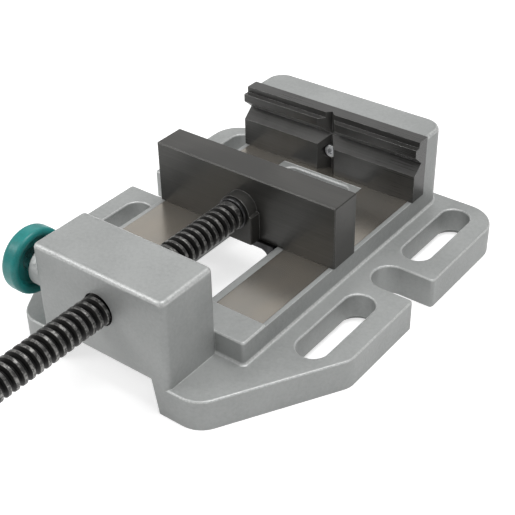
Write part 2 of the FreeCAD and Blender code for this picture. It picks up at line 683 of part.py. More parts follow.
def jaw_guide():
    """An inverted U between the rails, whose feet reach out below them and hold the jaw down."""
    body = new_body("jaw_guide")
    profile = new_sketch(body, "guide_profile", "XZ_Plane", -GUIDE_Y)
    inner = GUIDE_HALF - s.guide_ear
    roof = JAW_FOOT - s.guide_web
    low = FOOT_TOP - s.guide_foot
    right = [(inner, roof), (inner, low), (FOOT_HALF, low), (FOOT_HALF, FOOT_TOP),
             (GUIDE_HALF, FOOT_TOP), (GUIDE_HALF, JAW_FOOT)]
    left = [(-x, z) for x, z in reversed(right)]
    draw_polygon(profile, right + left)
    extrude(body, "Pad", "guide", profile, s.guide_length, back=True)
    dress(body, "Fillet", "guide_arch", s.guide_ear + 1.6,
          lambda edge: near(edge.BoundBox.ZMin, roof) and near(edge.BoundBox.ZMax, roof)
          and near(abs(edge.BoundBox.Center.x), inner) and edge.BoundBox.XLength < 0.01)
    holes = new_sketch(body, "guide_hole_outlines", "XY_Plane")
    pins = new_sketch(body, "guide_pin_hole_outlines", "XY_Plane")
    for side in (1, -1):
        draw_circle(holes, side * s.guide_screw_x, GUIDE_SCREW_Y, GUIDE_SCREW + 0.2)
    extrude(body, "Pocket", "guide_holes", holes, back=True)
    for side, sign in (("right", 1), ("left", -1)):
        sink = new_sketch(body, f"sink_{side}_profile", "XZ_Plane", -GUIDE_SCREW_Y)
        x = sign * s.guide_screw_x
        edge = x + GUIDE_HEAD + 0.2
        draw_polygon(sink, [(x, roof - 1.0), (edge, roof - 1.0), (edge, roof + 0.1),
                            (x + GUIDE_SCREW, roof + 2.1), (x, roof + 2.1)])
        groove = body.newObject("PartDesign::Groove", f"sink_{side}")
        groove.Profile = sink
        groove.ReferenceAxis = (sink, ["Edge5"])
        groove.Angle = 360
        doc.recompute()


def guide_fasteners():
    roof = JAW_FOOT - s.guide_web
    for side, sign in (("right", 1), ("left", -1)):
        screw(f"guide_screw_{side}", sign * s.guide_screw_x, GUIDE_SCREW_Y, roof + 0.1, TO_FLOOR,
              GUIDE_SCREW, s.guide_web - 0.1 + GUIDE_THREAD, GUIDE_HEAD, 2.0, 1.5, sunk=True)
        pin = new_body(f"retaining_pin_{side}", sign * PIN_X, GROOVE_Y, JAW_FOOT)
        outline = new_sketch(pin, "pin_outline", "XY_Plane")
        draw_circle(outline, 0, 0, s.pin_radius - 0.02)
        extrude(pin, "Pad", "pin", outline, PIN_TOP - JAW_FOOT)


# ---- spindle and handle ---------------------------------------------------------------

THREAD_END = LUG_BACK - s.washer_thick - 2 * WASHER_GAP
THREAD_START = THREAD_END - s.thread_length
THREAD_RADIUS = s.thread_size / 2
CREST = s.thread_pitch * 0.32
ROOT = s.thread_pitch * 0.30


def thread_groove(body, name, start, inner, outer, height):
    """A right-handed trapezoid groove about the body's own Z axis.

    Inner and outer are the groove's limits, each a radius and half a width.
    """
    sketch = new_sketch(body, name + "_profile", "XZ_Plane")
    low, low_half = inner
    high, high_half = outer
    draw_polygon(sketch, [(low, start - low_half), (low, start + low_half),
                          (high, start + high_half), (high, start - high_half)])
    item = body.newObject("PartDesign::SubtractiveHelix", name)
    item.Profile = sketch
    item.ReferenceAxis = (sketch, ["V_Axis"])
    item.Mode = "pitch-height-angle"
    item.Pitch = s.thread_pitch.value
    bind(item, "Pitch", s.thread_pitch)
    item.Height = as_dim(height).value
    bind(item, "Height", height)
    item.Angle = 0
    item.LeftHanded = False
    doc.recompute()


def spindle():
    """Turned from bar: handle neck, thread, and a journal with a retaining groove."""
    body = new_body("spindle", 0, THREAD_START, s.axis_z, TO_REAR)
    end = s.thread_length
    journal = s.journal_radius
    washer = s.washer_thick + 2 * WASHER_GAP
    groove = end + washer + GROOVE_LOW - GROOVE_WIDTH / 2
    neck = THREAD_RADIUS - s.thread_depth - 0.15
    root = journal - s.pin_groove
    corners = [(0, -s.head_length), (neck, -s.head_length), (neck, 1.0), (THREAD_RADIUS - 0.4, 1.0),
               (THREAD_RADIUS, 2.0), (THREAD_RADIUS, end - 0.6), (THREAD_RADIUS - 0.6, end),
               (journal, end), (journal, groove), (root, groove), (root, groove + GROOVE_WIDTH),
               (journal, groove + GROOVE_WIDTH), (journal, end + washer + s.journal_length - 0.6),
               (journal - 0.6, end + washer + s.journal_length),
               (0, end + washer + s.journal_length)]
    turn_profile(body, "Revolution", "turned_bar", corners)
    mouth = (s.thread_pitch - CREST) / 2
    thread_groove(body, "thread", THREAD_PHASE, (THREAD_RADIUS - s.thread_depth, ROOT / 2),
                  (THREAD_RADIUS + 0.4, mouth + 0.1), s.thread_length - 1.4)
    drill_head(body)


def drill_head(body):
    """The tommy bar's hole and the cross pin's hole, through the neck or the head."""
    across = 2 * s.head_radius + 2.0
    cross = new_sketch(body, "bar_hole_outline", "XZ_Plane", swing=s.bar_tilt)
    draw_circle(cross, 0, -BAR_IN, s.bar_radius + s.bar_gap)
    extrude(body, "Pocket", "bar_hole", cross, across, both=True)
    pin = new_sketch(body, "cross_pin_outline", "YZ_Plane")
    draw_circle(pin, 0, -PIN_IN, CROSS_PIN)
    extrude(body, "Pocket", "cross_pin_hole", pin, across, both=True)


THREAD_PHASE = -2.0
CROSS_PIN = 1.25
PIN_IN = 3.2
BAR_IN = s.head_length / 2 + 1.0
NECK = THREAD_RADIUS - s.thread_depth - 0.15
BAR_Y = THREAD_START - BAR_IN


def thrust_washer():
    body = new_body("thrust_washer", 0, THREAD_END + WASHER_GAP, s.axis_z, TO_REAR)
    bore = s.journal_radius + 0.08
    edge = 0.4
    turn_profile(body, "Revolution", "washer", [
        (bore, 0), (s.washer_radius - edge, 0), (s.washer_radius, edge),
        (s.washer_radius, s.washer_thick - edge), (s.washer_radius - edge, s.washer_thick),
        (bore, s.washer_thick)])


def spindle_head():
    body = new_body("spindle_head", 0, THREAD_START, s.axis_z, TO_REAR)
    edge = 1.2
    turn_profile(body, "Revolution", "head", [
        (NECK + 0.02, -s.head_length), (s.head_radius - edge, -s.head_length),
        (s.head_radius, -s.head_length + edge), (s.head_radius, -edge), (s.head_radius - edge, 0),
        (NECK + 0.02, 0)])
    drill_head(body)
    bolt = new_body("head_pin", -s.head_radius + 0.4, THREAD_START - PIN_IN, s.axis_z,
                    FreeCAD.Rotation(V(0, 1, 0), 90))
    outline = new_sketch(bolt, "pin_outline", "XY_Plane")
    draw_circle(outline, 0, 0, CROSS_PIN - 0.02)
    extrude(bolt, "Pad", "pin", outline, 2 * s.head_radius - 0.8)


def tommy_bar():
    tilt = FreeCAD.Rotation(V(0, 1, 0), s.bar_tilt.value)
    bar = new_body("tommy_bar", 0, BAR_Y, s.axis_z, tilt)
    bind(bar, "Placement.Rotation.Angle", s.bar_tilt)
    half = s.bar_length / 2
    turn_profile(bar, "Revolution", "bar", [
        (0, -half), (s.bar_radius - 0.4, -half), (s.bar_radius, -half + 0.4),
        (s.bar_radius, half - 0.4), (s.bar_radius - 0.4, half), (0, half)])
    for label, sign in (("bar_cap_upper", 1), ("bar_cap_lower", -1)):
        cap = new_body(label, 0, BAR_Y, s.axis_z, tilt)
        bind(cap, "Placement.Rotation.Angle", s.bar_tilt)
        top = half + 1.6
        inner = top - s.cap_length
        edge = 1.8
        socket = s.bar_radius + 0.02
        corners = [(0, half + 0.02), (0, top), (s.cap_radius - edge, top),
                   (s.cap_radius, top - edge), (s.cap_radius, inner + 0.6),
                   (s.cap_radius - 0.6, inner), (socket, inner), (socket, half + 0.02)]
        turn_profile(cap, "Revolution", "cap", [(x, sign * z) for x, z in corners])


# ---- quick release --------------------------------------------------------------------

def release_slide():
    """The half nut: its window lets the spindle through, and its right side carries teeth."""
    body = new_body("release_slide", 0, SLIDE_Y - s.slide_thick / 2, s.axis_z, TO_REAR)
    outline = new_sketch(body, "slide_outline", "XY_Plane")
    top = s.axis_z - s.slide_head
    foot = s.axis_z - s.slide_foot
    draw_box(outline, -s.slide_left, s.slide_right, top, foot)
    extrude(body, "Pad", "slide", outline, s.slide_thick)
    dress(body, "Fillet", "slide_edges", 1.5, lambda edge: edge.BoundBox.ZLength > 11.0)
    window = new_sketch(body, "window_outline", "XY_Plane")
    reach = THREAD_RADIUS + s.window_gap
    draw_box(window, -s.press_travel - reach, s.window_edge, -reach, reach)
    extrude(body, "Pocket", "window", window, back=True)
    dress(body, "Fillet", "window_corners", 4.0,
          upright_at((-s.press_travel - reach, -reach), (-s.press_travel - reach, reach)))
    bore = new_sketch(body, "tooth_bore_outline", "XY_Plane")
    draw_circle(bore, 0, 0, THREAD_RADIUS - s.thread_depth + s.thread_gap)
    extrude(body, "Pocket", "tooth_bore", bore, back=True)
    inner = THREAD_RADIUS - s.thread_depth
    outer = THREAD_RADIUS + s.thread_gap
    thread_groove(body, "teeth", tooth_start(), (inner, (s.thread_pitch - ROOT) / 2 + s.thread_gap),
                  (outer, CREST / 2 + s.thread_gap * 0.8), s.slide_thick + 3 * s.thread_pitch)
    spring = new_sketch(body, "spring_hole_outline", "YZ_Plane", s.slide_right - s.spring_seat)
    draw_circle(spring, 0, s.slide_thick / 2, s.spring_radius + s.spring_wire / 2 + 0.3)
    extrude(body, "Pocket", "spring_hole", spring, s.spring_seat + 1.0, back=True)
    stud = new_sketch(body, "stud_hole_outline", "YZ_Plane", -s.slide_left - 1.0)
    draw_circle(stud, 0, s.slide_thick / 2, s.stud_radius)
    extrude(body, "Pocket", "stud_hole", stud, s.stud_length + 1.2, back=True)


def tooth_start():
    """Where a crest of the spindle's thread lies, a turn or two in front of the slide."""
    crest = THREAD_START + THREAD_PHASE + s.thread_pitch / 2 - (SLIDE_Y - s.slide_thick / 2)
    turns = math.floor(-crest.value / s.thread_pitch.value) - 1
    return crest + s.thread_pitch * turns


OUTWARD = FreeCAD.Rotation(V(0, 1, 0), -90)
RIM_X = -s.block_width / 2 - s.button_inner
BUTTON_FACE = RIM_X - s.button_depth
DISH_FLOOR = RIM_X - s.dish_depth


def release_stem():
    """Its own Z axis points out to the left, from the slide to the button."""
    body = new_body("release_stem", 0, SLIDE_Y, s.axis_z, OUTWARD)
    inner = s.slide_left
    outer = -DISH_FLOOR
    stud_end = inner - s.stud_length
    neck = s.stud_radius - SEAT_GAP
    turn_profile(body, "Revolution", "stem", [
        (0, stud_end), (neck - 0.3, stud_end), (neck, stud_end + 0.3), (neck, inner + SEAT_GAP),
        (s.stem_radius, inner + SEAT_GAP), (s.stem_radius, outer - SEAT_GAP), (neck, outer - SEAT_GAP),
        (neck, outer + STEM_SPIGOT - 0.2), (0, outer + STEM_SPIGOT - 0.2)])
    tapping = new_sketch(body, "tapping_outline", "XY_Plane", outer + STEM_SPIGOT)
    draw_circle(tapping, 0, 0, BUTTON_SCREW)
    extrude(body, "Pocket", "tapping", tapping, 9.0)


SEAT_GAP = 0.02
STEM_SPIGOT = 1.4
BUTTON_SCREW = 1.5
BUTTON_SINK = 3.4
SCREW_SINK = 1.8


def release_button():
    """A dished push button with a thick rounded rim, open towards the block."""
    body = new_body("release_button", 0, SLIDE_Y, s.axis_z, OUTWARD)
    rim = -RIM_X
    face = -BUTTON_FACE
    floor = -DISH_FLOOR
    hub = s.stem_radius + 1.8
    turn_profile(body, "Revolution", "button", [
        (s.stud_radius, floor), (hub, floor), (s.dish_radius - 1.0, floor), (s.dish_radius, floor - 1.0),
        (s.dish_radius, rim), (s.button_radius, rim), (s.button_radius, face),
        (BUTTON_SINK + 0.2, face), (BUTTON_SINK + 0.2, face - SCREW_SINK),
        (s.stud_radius, face - SCREW_SINK)])
    outer = s.button_radius
    dress(body, "Fillet", "rim_front", 2.6, lambda edge: level(edge, face)
          and edge.BoundBox.XLength > 1.9 * outer.value)
    dress(body, "Fillet", "rim_back", 1.8, lambda edge: level(edge, rim)
          and edge.BoundBox.XLength > 1.9 * outer.value)
    dress(body, "Fillet", "rim_inside", 1.6, lambda edge: level(edge, rim)
          and edge.BoundBox.XLength < 1.7 * outer.value)
    screw("button_screw", BUTTON_FACE + SCREW_SINK - SEAT_GAP, SLIDE_Y, s.axis_z, OUTWARD,
          BUTTON_SCREW, 7.0, BUTTON_SINK - 0.4, 1.6, 1.3)


def release_spring():
    """Drawn at its pressed length, against the right-hand end of the pocket."""
    length = POCKET_RIGHT - s.slide_right - s.press_travel + s.spring_seat - 0.5
    body = doc.addObject("Part::Helix", "release_spring_path")
    pitch = (length - s.spring_wire) / s.spring_turns
    bind(body, "Pitch", pitch)
    bind(body, "Height", length - s.spring_wire)
    bind(body, "Radius", s.spring_radius)
    wire = doc.addObject("Part::Circle", "release_spring_wire")
    wire.Placement = FreeCAD.Placement(V(s.spring_radius.value, 0, 0), FreeCAD.Rotation(V(1, 0, 0), 90))
    bind(wire, "Placement.Base.x", s.spring_radius)
    bind(wire, "Radius", s.spring_wire / 2)
    spring = doc.addObject("Part::Sweep", "release_spring")
    spring.Label = "release_spring"
    spring.Sections = [wire]
    spring.Spine = (body, ["Edge1"])
    spring.Solid = True
    spring.Frenet = True
    start = POCKET_RIGHT - length + s.spring_wire / 2 - 0.02
    turn = FreeCAD.Rotation(V(0, 1, 0), 90)
    spring.Placement = FreeCAD.Placement(V(start.value, SLIDE_Y.value, s.axis_z.value), turn)
    bind(spring, "Placement.Base.x", start)
    bind(spring, "Placement.Base.y", SLIDE_Y)
    bind(spring, "Placement.Base.z", s.axis_z)
    doc.recompute()


def slide_cover():
    body = new_body("slide_cover")
    outline = new_sketch(body, "cover_outline", "XY_Plane", s.arch_height)
    half = COVER_HALF - 0.15
    depth = COVER_DEPTH / 2 - 0.15
    draw_box(outline, -half, half, SLIDE_Y - depth, SLIDE_Y + depth)
    extrude(body, "Pad", "cover", outline, s.cover_thick)
    holes = new_sketch(body, "cover_hole_outlines", "XY_Plane")
    for side in (1, -1):
        draw_circle(holes, side * s.cover_screw_x, SLIDE_Y, COVER_SCREW + 0.1)
    extrude(body, "Pocket", "cover_holes", holes, back=True)
    for side, sign in (("right", 1), ("left", -1)):
        screw(f"cover_screw_{side}", sign * s.cover_screw_x, SLIDE_Y, s.arch_height, TO_FLOOR,
              COVER_SCREW, 8.0, 2.5, 1.5, 1.1)


# ---- build and export -----------------------------------------------------------------

def check_and_export():
    """Every object must be sound before its solid is written to parts/LABEL.step."""
    doc.recompute()
    for item in doc.Objects:
        if "Invalid" in item.State or "Error" in item.State:
            raise RuntimeError(f"{item.Name} did not build: {item.State}")
    os.makedirs("parts", exist_ok=True)
    bodies = doc.findObjects("PartDesign::Body")
    for item in bodies + [doc.getObject("release_spring")]:
        shape = item.Shape
        if shape.isNull() or not shape.isValid() or len(shape.Solids) != 1:
            raise RuntimeError(f"{item.Label} is not one sound solid")
        shape.exportStep(os.path.join("parts", item.Label + ".step"))
        print(f"{item.Label}: {shape.Volume:.1f} mm3")


base_casting()
fixed_jaw_plate()
plate_screws()
moving_jaw()
jaw_guide()
guide_fasteners()
spindle()
thrust_washer()
spindle_head()
tommy_bar()
release_slide()
release_stem()
release_button()
release_spring()
slide_cover()
check_and_export()
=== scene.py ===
import math

import bmesh
import bpy
from mathutils import Matrix, Vector

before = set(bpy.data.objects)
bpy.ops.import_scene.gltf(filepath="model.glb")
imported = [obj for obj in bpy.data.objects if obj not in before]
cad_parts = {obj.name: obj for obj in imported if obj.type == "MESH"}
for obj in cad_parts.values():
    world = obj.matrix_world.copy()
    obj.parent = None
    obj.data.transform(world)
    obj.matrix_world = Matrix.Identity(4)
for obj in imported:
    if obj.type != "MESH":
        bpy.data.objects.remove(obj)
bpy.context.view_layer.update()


# ---- Base casting ---------------------------------------------------------------------
# The body of the vise: one iron casting with slotted flanges, the spindle block and the
# upright. It is sprayed silver grey over a fine sand grain. Its two rails are milled
# afterwards, which leaves a bare band on each side of the well, up to the fixed jaw.

class Wire:
    """One socket of a material. Arithmetic adds Math nodes, and node() adds any other."""

    def __init__(self, tree, socket=None):
        self.tree = tree
        self.socket = socket

    def node(self, kind, settings=None, inputs=None, output=0):
        made = self.tree.nodes.new(kind)
        for name, value in (settings or {}).items():
            setattr(made, name, value)
        for name, value in (inputs or {}).items():
            if isinstance(value, Wire):
                self.tree.links.new(value.socket, made.inputs[name])
            else:
                made.inputs[name].default_value = value
        return Wire(self.tree, made.outputs[output])

    def maths(self, operation, *values, clamp=False):
        settings = {"operation": operation, "use_clamp": clamp}
        return self.node("ShaderNodeMath", settings, dict(enumerate(values)))

    def __add__(self, other):
        return self.maths("ADD", self, other)

    def __radd__(self, other):
        return self.maths("ADD", other, self)

    def __sub__(self, other):
        return self.maths("SUBTRACT", self, other)

    def __rsub__(self, other):
        return self.maths("SUBTRACT", other, self)

    def __mul__(self, other):
        return self.maths("MULTIPLY", self, other)

    def __rmul__(self, other):
        return self.maths("MULTIPLY", other, self)

    def __pow__(self, other):
        return self.maths("POWER", self, other)

    def __abs__(self):
        return self.maths("ABSOLUTE", self)

    def larger(self, other):
        return self.maths("MAXIMUM", self, other)

    def step(self, low, high):
        """0 below low and 1 above high, or the other way round where low is the larger."""
        return self.node("ShaderNodeMapRange", {"interpolation_type": "SMOOTHSTEP"},
                         {0: self, 1: low, 2: high})

    def tint(self, dark, light):
        """A colour between two others, with this value as the share of the second."""
        sockets = {0: self}
        for index, colour in ((6, dark), (7, light)):
            sockets[index] = colour if isinstance(colour, Wire) else (*colour, 1.0)
        return self.node("ShaderNodeMix", {"data_type": "RGBA"}, sockets, output=2)

    def axis(self, name):
        """One coordinate of a vector."""
        return self.node("ShaderNodeSeparateXYZ", None, {0: self}, output=name)

    def stretched(self, scales):
        """The same place, scaled along each axis: noise on it has that many lumps a metre."""
        return self.node("ShaderNodeMapping", None, {"Vector": self, "Scale": scales})

    def noise(self, scale=1.0, detail=3.0, roughness=0.55, distortion=0.0):
        """Soft lumps, about scale of them in a metre."""
        return self.node("ShaderNodeTexNoise", None,
                         {"Vector": self, "Scale": scale, "Detail": detail,
                          "Roughness": roughness, "Distortion": distortion})


class Finish:
    """A new material: its place on the object, its edges, and its shader's sockets."""

    def __init__(self, name):
        self.material = bpy.data.materials.new(name)
        self.material.use_nodes = True
        self.tree = self.material.node_tree
        self.shader = self.tree.nodes["Principled BSDF"]
        self.start = Wire(self.tree)
        self.place = self.start.node("ShaderNodeTexCoord", output="Object")

    def facing(self):
        """The direction that the surface itself faces."""
        return self.start.node("ShaderNodeNewGeometry", output="Normal")

    def rounded(self, radius):
        """The direction that the surface would face if its edges were rounded off."""
        return self.start.node("ShaderNodeBevel", {"samples": 8}, {"Radius": radius})

    def edges(self, radius, low, high):
        """1 along sharp edges and corners, fading to 0 a radius away from them."""
        match = self.start.node("ShaderNodeVectorMath", {"operation": "DOT_PRODUCT"},
                                {0: self.rounded(radius), 1: self.facing()}, output="Value")
        return (1.0 - match).step(low, high)

    def relief(self, height, depth, edge_radius):
        """A bump of the given depth on a surface whose edges are rounded off."""
        sockets = {"Height": height, "Distance": depth, "Strength": 1.0,
                   "Normal": self.rounded(edge_radius)}
        return self.start.node("ShaderNodeBump", None, sockets)

    def set(self, **sockets):
        for name, value in sockets.items():
            socket = self.shader.inputs[name.replace("_", " ")]
            if isinstance(value, Wire):
                self.tree.links.new(value.socket, socket)
            elif isinstance(value, tuple):
                socket.default_value = (*value, 1.0)
            else:
                socket.default_value = value
        return self

    def onto(self, *nodes):
        """Gives the finish to CAD nodes, in the slots that their objects already have."""
        for name in nodes:
            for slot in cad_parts[name].material_slots:
                slot.material = self.material


RAIL_TOP = 0.0256
RAIL_BAND = 0.00012
RAIL_REACH = 0.0473
RAIL_BLUR = 0.0002
PAINT_DARK = (0.345, 0.355, 0.350)
PAINT = (0.425, 0.436, 0.430)
PAINT_RUB_AND_HIGHLIGHT = (0.74, 0.75, 0.74)
MILLED_WARM = (0.345, 0.315, 0.272)
MILLED_COOL = (0.300, 0.285, 0.258)
SAND_GRAIN = 2600.0
SKIN_GRAIN = 620.0
PAINT_CLOUDS = 28.0
EDGE_SPECKLE_GRAIN = 900.0
CUTTER_LINES = (420.0, 30.0, 1.0)
MILLED_FOG = 45.0
CAST_EDGE = 0.0010
CAST_ROUND = 0.0004
CAST_DEPTH = 0.00022

casting = Finish("silver_paint_over_cast_iron")
skyward = casting.facing().axis("Z")
up = skyward.step(0.97, 0.995)
level = abs(casting.place.axis("Z") - RAIL_TOP).step(RAIL_BAND * 2, RAIL_BAND)
within = abs(casting.place.axis("X")).step(RAIL_REACH + RAIL_BLUR, RAIL_REACH - RAIL_BLUR)
milled = up * level * within
painted = 1.0 - milled
sand = casting.place.noise(SAND_GRAIN, 2.0, 0.6)
skin = casting.place.noise(SKIN_GRAIN, 4.0, 0.6)
cloud = casting.place.noise(PAINT_CLOUDS, 3.0, 0.5)
# Fillets that slope partly upward are picked out by their facing, to carry a painted highlight.
lit_fillets = skyward.step(0.12, 0.45) * skyward.step(0.985, 0.86)
# Sharp edges and those fillets share one mask: partly rubbed paint, partly painted highlight.
rubbed_and_lit_edges = casting.edges(CAST_EDGE, 0.03, 0.22).larger(lit_fillets)
wear_and_highlight = rubbed_and_lit_edges * (casting.place.noise(EDGE_SPECKLE_GRAIN, 3.0, 0.7).step(0.30, 0.62) * 0.6 + 0.4)
speck = sand.step(0.60, 0.74) * 0.5
paint = (cloud * 0.6 + skin * 0.4).step(0.32, 0.66).tint(PAINT_DARK, PAINT)
# The pale colour on edges and fillets is partly worn paint and partly a painted highlight; sand
# flecks take it too.
paint = (wear_and_highlight * 0.75 + speck * 0.25).tint(paint, PAINT_RUB_AND_HIGHLIGHT)
cutter = casting.place.stretched(CUTTER_LINES).noise(detail=2.0, roughness=0.5)
fog = casting.place.noise(MILLED_FOG, 2.0, 0.5)
steel = (cutter * 0.15 + fog * 0.85).step(0.30, 0.70).tint(MILLED_COOL, MILLED_WARM)
grain = (sand * 0.25 + skin * 0.75) * painted + cutter * 0.008 * milled
paint_gloss = 0.46 - rubbed_and_lit_edges * 0.10 + skin * 0.08
milled_gloss = 0.20 + cutter * 0.08
casting.set(
    Base_Color=milled.tint(paint, steel),
    Metallic=0.30 + milled * 0.50,
    Roughness=paint_gloss * painted + milled_gloss * milled,
    Normal=casting.relief(grain, CAST_DEPTH, CAST_ROUND),
).onto("base_casting")


# ---- Fixed jaw plate ------------------------------------------------------------------
# A bar of steel screwed to the upright, ground on every side and then blackened. The grinding
# leaves fine lines along the bar, and its edges are painted lighter grey, partly as rubbed wear
# and partly as a painted highlight.

OXIDE_DEEP = (0.050, 0.049, 0.047)
OXIDE = (0.082, 0.081, 0.078)
OXIDE_RUB_AND_HIGHLIGHT = (0.34, 0.34, 0.335)
GRINDING_LINES = (12.0, 1500.0, 1500.0)
OIL_BLOTCHES = 34.0
RUBBED_SPOTS = 260.0
PLATE_EDGE = 0.00035
PLATE_ROUND = 0.00025
GRINDING_DEPTH = 0.000008

oxide = Finish("black_oxide_on_ground_steel")
lines = oxide.place.stretched(GRINDING_LINES).noise(roughness=0.6)
blotch = oxide.place.noise(OIL_BLOTCHES)
patchy = oxide.place.noise(RUBBED_SPOTS, 2.0, 0.6).step(0.25, 0.60)
# Edge mask for the lighter grey: partly rubbed wear, partly a painted highlight along the
# edges.
rub_and_highlight = oxide.edges(PLATE_EDGE, 0.02, 0.14) * patchy
oil = (blotch * 0.7 + lines * 0.3).step(0.34, 0.66).tint(OXIDE_DEEP, OXIDE)
oxide.set(
    Base_Color=(rub_and_highlight * 0.8).tint(oil, OXIDE_RUB_AND_HIGHLIGHT),
    Metallic=0.40,
    Roughness=0.22 + lines * 0.06 + blotch * 0.08,
    Normal=oxide.relief(lines, GRINDING_DEPTH, PLATE_ROUND),
).onto("fixed_jaw_plate")


# ---- Plate screws ---------------------------------------------------------------------
# Three socket screws hold the jaw plate to the upright. The one in front, in the upright
# groove, is zinc plated and catches the light; the two behind are blackened.

ZINC = (0.78, 0.79, 0.80)
ZINC_DULL = (0.58, 0.59, 0.60)
ZINC_CRYSTALS = 1400.0
ZINC_CLOUDS = 180.0
SCREW_ROUND = 0.0002

zinc = Finish("bright_zinc_plate")
crystals = zinc.place.noise(ZINC_CRYSTALS, roughness=0.65)
dulling = zinc.place.noise(ZINC_CLOUDS, 2.0, 0.5)
zinc.set(
    Base_Color=(crystals * 0.5 + dulling * 0.5).step(0.35, 0.65).tint(ZINC_DULL, ZINC),
    Metallic=1.0,
    Roughness=0.34 + crystals * 0.16,
    Normal=zinc.relief(crystals, 0.00003, SCREW_ROUND),
).onto("plate_screw_front")

BLACK_SCREW = (0.030, 0.030, 0.031)
BLACK_SCREW_EDGE = (0.16, 0.16, 0.16)
SCALE_GRAIN = 700.0

screw_black = Finish("blackened_screw_steel")
heat = screw_black.place.noise(SCALE_GRAIN, roughness=0.6)
corner = screw_black.edges(0.0003, 0.04, 0.25)
screw_black.set(
    Base_Color=(corner * 0.6 + heat * 0.15).tint(BLACK_SCREW, BLACK_SCREW_EDGE),
    Metallic=0.9,
    Roughness=0.30 + heat * 0.18,
    Normal=screw_black.relief(heat, 0.00002, SCREW_ROUND),
).onto("plate_screw_right", "plate_screw_left")


# ---- Moving jaw and its guide ---------------------------------------------------------
# The moving jaw is a thicker blackened bar with a lug for the spindle. It slides on the
# rails, held down by an oiled steel guide that is screwed on from below.

JAW_DEEP = (0.048, 0.047, 0.044)
JAW_LIGHT = (0.080, 0.078, 0.073)
JAW_LINES = (9.0, 1300.0, 1300.0)
JAW_STAINS = 22.0
JAW_RUBBED_SPOTS = 220.0
JAW_EDGE = 0.0004
JAW_ROUND = 0.00030

jaw = Finish("black_oxide_on_moving_jaw")
along = jaw.place.stretched(JAW_LINES).noise(roughness=0.6)
stain = jaw.place.noise(JAW_STAINS, 3.0, 0.5, distortion=0.6)
spotty = jaw.place.noise(JAW_RUBBED_SPOTS, 2.0, 0.6).step(0.22, 0.58)
# The jaw's edges are painted lighter grey, partly as rubbed wear and partly as a painted
# highlight.
jaw_rub_and_highlight = jaw.edges(JAW_EDGE, 0.02, 0.14) * spotty
blacking = (stain * 0.75 + along * 0.25).step(0.34, 0.68).tint(JAW_DEEP, JAW_LIGHT)
jaw.set(
    Base_Color=(jaw_rub_and_highlight * 0.8).tint(blacking, OXIDE_RUB_AND_HIGHLIGHT),
    Metallic=0.40,
    Roughness=0.28 + along * 0.08 + stain * 0.10,
    Normal=jaw.relief(along, 0.000007, JAW_ROUND),
).onto("moving_jaw")

OILED_DARK = (0.030, 0.030, 0.031)
OILED = (0.080, 0.080, 0.082)
MACHINING_GRAIN = 420.0
OIL_SMEARS = 60.0

oiled = Finish("oiled_machined_steel")
machined = oiled.place.noise(MACHINING_GRAIN, roughness=0.6)
smear = oiled.place.noise(OIL_SMEARS, 2.0, 0.5)
oiled.set(
    Base_Color=(machined * 0.4 + smear * 0.6).step(0.30, 0.70).tint(OILED_DARK, OILED),
    Metallic=1.0,
    Roughness=0.26 + machined * 0.20,
    Normal=oiled.relief(machined, 0.00002, 0.0003),
).onto("jaw_guide")
screw_black.onto("guide_screw_right", "guide_screw_left")
zinc.onto("retaining_pin_right", "retaining_pin_left")


# ---- Spindle --------------------------------------------------------------------------
# A bar with a coarse rolled trapezoid thread, blackened and oiled. Its colour goes by distance
# from the axis:
# roots painted darker as oil and as shade, crests with a painted sheen, patches polished by the
# half nut that also carry a painted glint, and painted highlights along the crest edges.

AXIS_HEIGHT = 0.040
ROOT_OIL_AND_SHADE = (0.008, 0.008, 0.008)
FLANK = (0.030, 0.029, 0.028)
CREST_SHEEN = (0.095, 0.094, 0.092)
CREST_POLISH_AND_GLINT = (0.42, 0.415, 0.40)
FLANK_LOW, FLANK_HIGH = 0.0048, 0.0062
CREST_LOW, CREST_HIGH = 0.0064, 0.0070
SCUFFS = 520.0
DRAG_LINES = (1200.0, 90.0, 1200.0)
CREST_GLINT_RADIUS = 0.00030
THREAD_DEPTH = 0.00006

thread = Finish("oiled_rolled_thread")
sideways = thread.place.axis("X")
upwards = thread.place.axis("Z") - AXIS_HEIGHT
radius = (sideways ** 2.0 + upwards ** 2.0) ** 0.5
crest = radius.step(CREST_LOW, CREST_HIGH)
flank = radius.step(FLANK_LOW, FLANK_HIGH)
scuff = thread.place.noise(SCUFFS, 4.0, 0.7)
drag = thread.place.stretched(DRAG_LINES).noise(roughness=0.6)
# Thin painted highlights along the crest edges, broken up by scuffs.
crest_edge_glint = crest * thread.edges(CREST_GLINT_RADIUS, 0.02, 0.16) * scuff.step(0.34, 0.56)
# Polished patches on the crests, lightened further as a painted glint.
polish_and_glint = (crest * scuff.step(0.46, 0.62) * 0.6).larger(crest_edge_glint)
# Painted shade and sheen by radius: roots darkest, flanks mid, crests lighter.
radial_shading = crest.tint(flank.tint(ROOT_OIL_AND_SHADE, FLANK), CREST_SHEEN)
thread.set(
    Base_Color=polish_and_glint.tint(radial_shading, CREST_POLISH_AND_GLINT),
    Metallic=0.55 + crest * 0.45,
    Roughness=0.52 - crest * 0.14 + scuff * 0.14,
    Normal=thread.relief(scuff * 0.6 + drag * 0.4, THREAD_DEPTH, 0.0003),
).onto("spindle")


# ---- Thrust washer, handle head and tommy bar -----------------------------------------
# The turned and blackened head is pinned to the spindle, and a plain bright bar slips
# through it between two moulded caps. A washer with the same black finish as the head
# takes the thrust in front of the jaw's lug.

HEAD_DARK = (0.040, 0.040, 0.041)
HEAD_LIGHT = (0.085, 0.085, 0.086)
HEAD_EDGE = (0.32, 0.32, 0.32)
LATHE_LINES = (500.0, 3000.0, 500.0)
HAND_MARKS = 70.0

